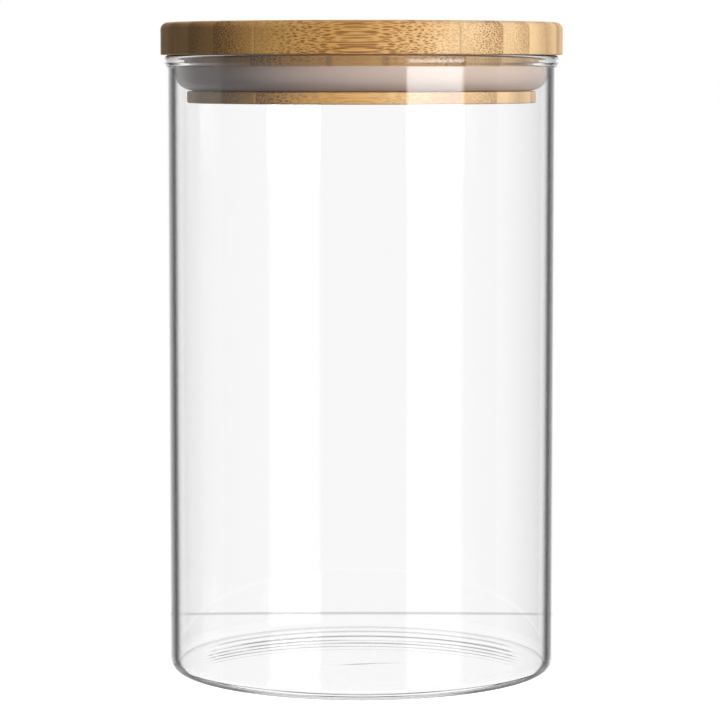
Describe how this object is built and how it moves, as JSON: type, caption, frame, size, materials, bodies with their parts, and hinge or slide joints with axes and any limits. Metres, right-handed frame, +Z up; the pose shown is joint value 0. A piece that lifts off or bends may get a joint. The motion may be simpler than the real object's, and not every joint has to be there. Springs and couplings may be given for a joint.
{
  "type": "food canister",
  "caption": "Straight round glass food canister with a turned bamboo push-in lid sealed by a silicone lip ring.",
  "frame": {"origin": "centre of the foot, on the surface that the jar stands on", "axes": "+Z up along the jar's axis; the lid's bamboo slats run along X; -Y is the front"},
  "size_m": [0.1028, 0.1028, 0.1663],
  "materials": {
    "clear_glass": "clear polished borosilicate glass",
    "bamboo": "turned, sanded and oiled laminated bamboo",
    "silicone": "translucent satin food-grade silicone"
  },
  "bodies": {
    "jar": {"glass_jar": "clear_glass"},
    "seal": {"seal_ring": "silicone"},
    "lid": {"lid_slat_01": "bamboo", "lid_slat_02": "bamboo", "lid_slat_03": "bamboo", "lid_slat_04": "bamboo", "lid_slat_05": "bamboo", "lid_slat_06": "bamboo", "lid_slat_07": "bamboo", "lid_slat_08": "bamboo", "lid_slat_09": "bamboo", "lid_slat_10": "bamboo", "lid_slat_11": "bamboo", "lid_slat_12": "bamboo", "lid_slat_13": "bamboo", "lid_slat_14": "bamboo"}
  },
  "joints": [
    {"name": "lid_lift", "type": "slide", "parent": "jar", "child": "seal", "axis": [0, 0, 1], "range_m": [0, 0.09]},
    {"name": "lid_turn", "type": "hinge", "parent": "seal", "child": "lid", "pos_m": [0, 0, 0.1521], "axis": [0, 0, 1], "continuous": true}
  ]
}
